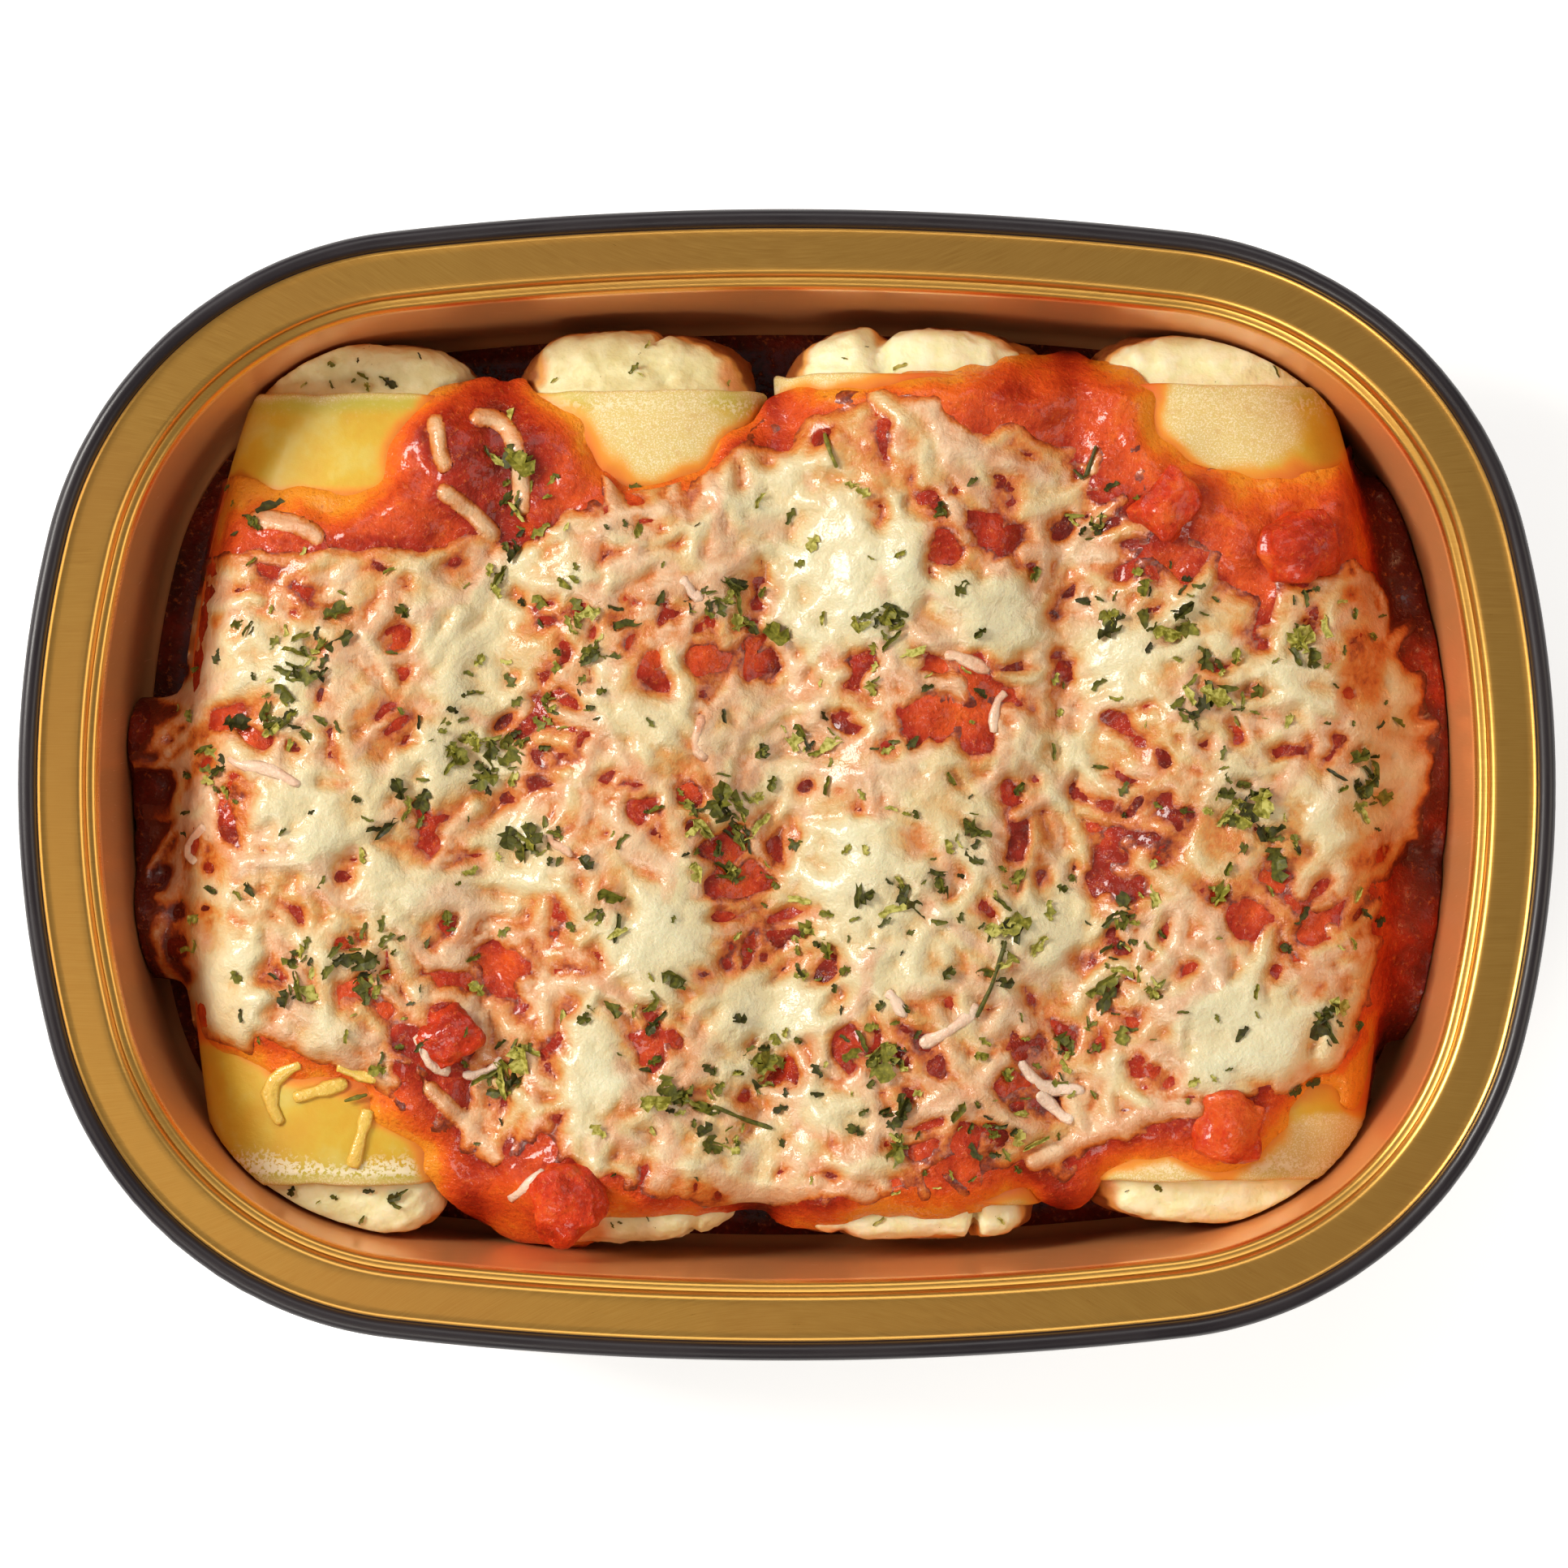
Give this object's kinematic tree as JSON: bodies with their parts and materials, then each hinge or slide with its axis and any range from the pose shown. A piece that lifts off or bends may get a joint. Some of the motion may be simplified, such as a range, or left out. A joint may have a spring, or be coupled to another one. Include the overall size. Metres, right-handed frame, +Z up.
{
  "type": "tray of cannelloni",
  "caption": "Baked cannelloni side by side in an oblong foil tray: filled pasta rolls under tomato sauce, melted shredded mozzarella and dried herbs.",
  "frame": {"origin": "middle of the tray's underside, on the surface that it stands on", "axes": "+X along the tray's long side, +Y along the rolls towards the back, +Z up"},
  "size_m": [0.225, 0.1686, 0.044],
  "materials": {
    "foil": "gold-lacquered brushed foil inside, black lacquer outside and on the rolled edge, satin",
    "pasta": "cooked egg pasta, yellow and smooth, with pale dried patches",
    "ricotta": "baked ricotta with herb specks, slightly crumbly, browned at its edges",
    "sauce": "smooth wet tomato sauce with an oily sheen",
    "tomato": "soft wet diced tomato",
    "cheese": "melted shredded mozzarella, creamy and glossy, with flakes of dried herbs"
  },
  "bodies": {
    "root": {"tray": "foil", "pasta_roll_1": "pasta", "ricotta_filling_1": "ricotta", "pasta_roll_2": "pasta", "ricotta_filling_2": "ricotta", "pasta_roll_3": "pasta", "ricotta_filling_3": "ricotta", "pasta_roll_4": "pasta", "ricotta_filling_4": "ricotta", "tomato_sauce": "sauce", "tomato_dice_1": "tomato", "tomato_dice_2": "tomato", "tomato_dice_3": "tomato", "tomato_dice_4": "tomato", "tomato_dice_5": "tomato", "mozzarella": "cheese"}
  },
  "joints": []
}
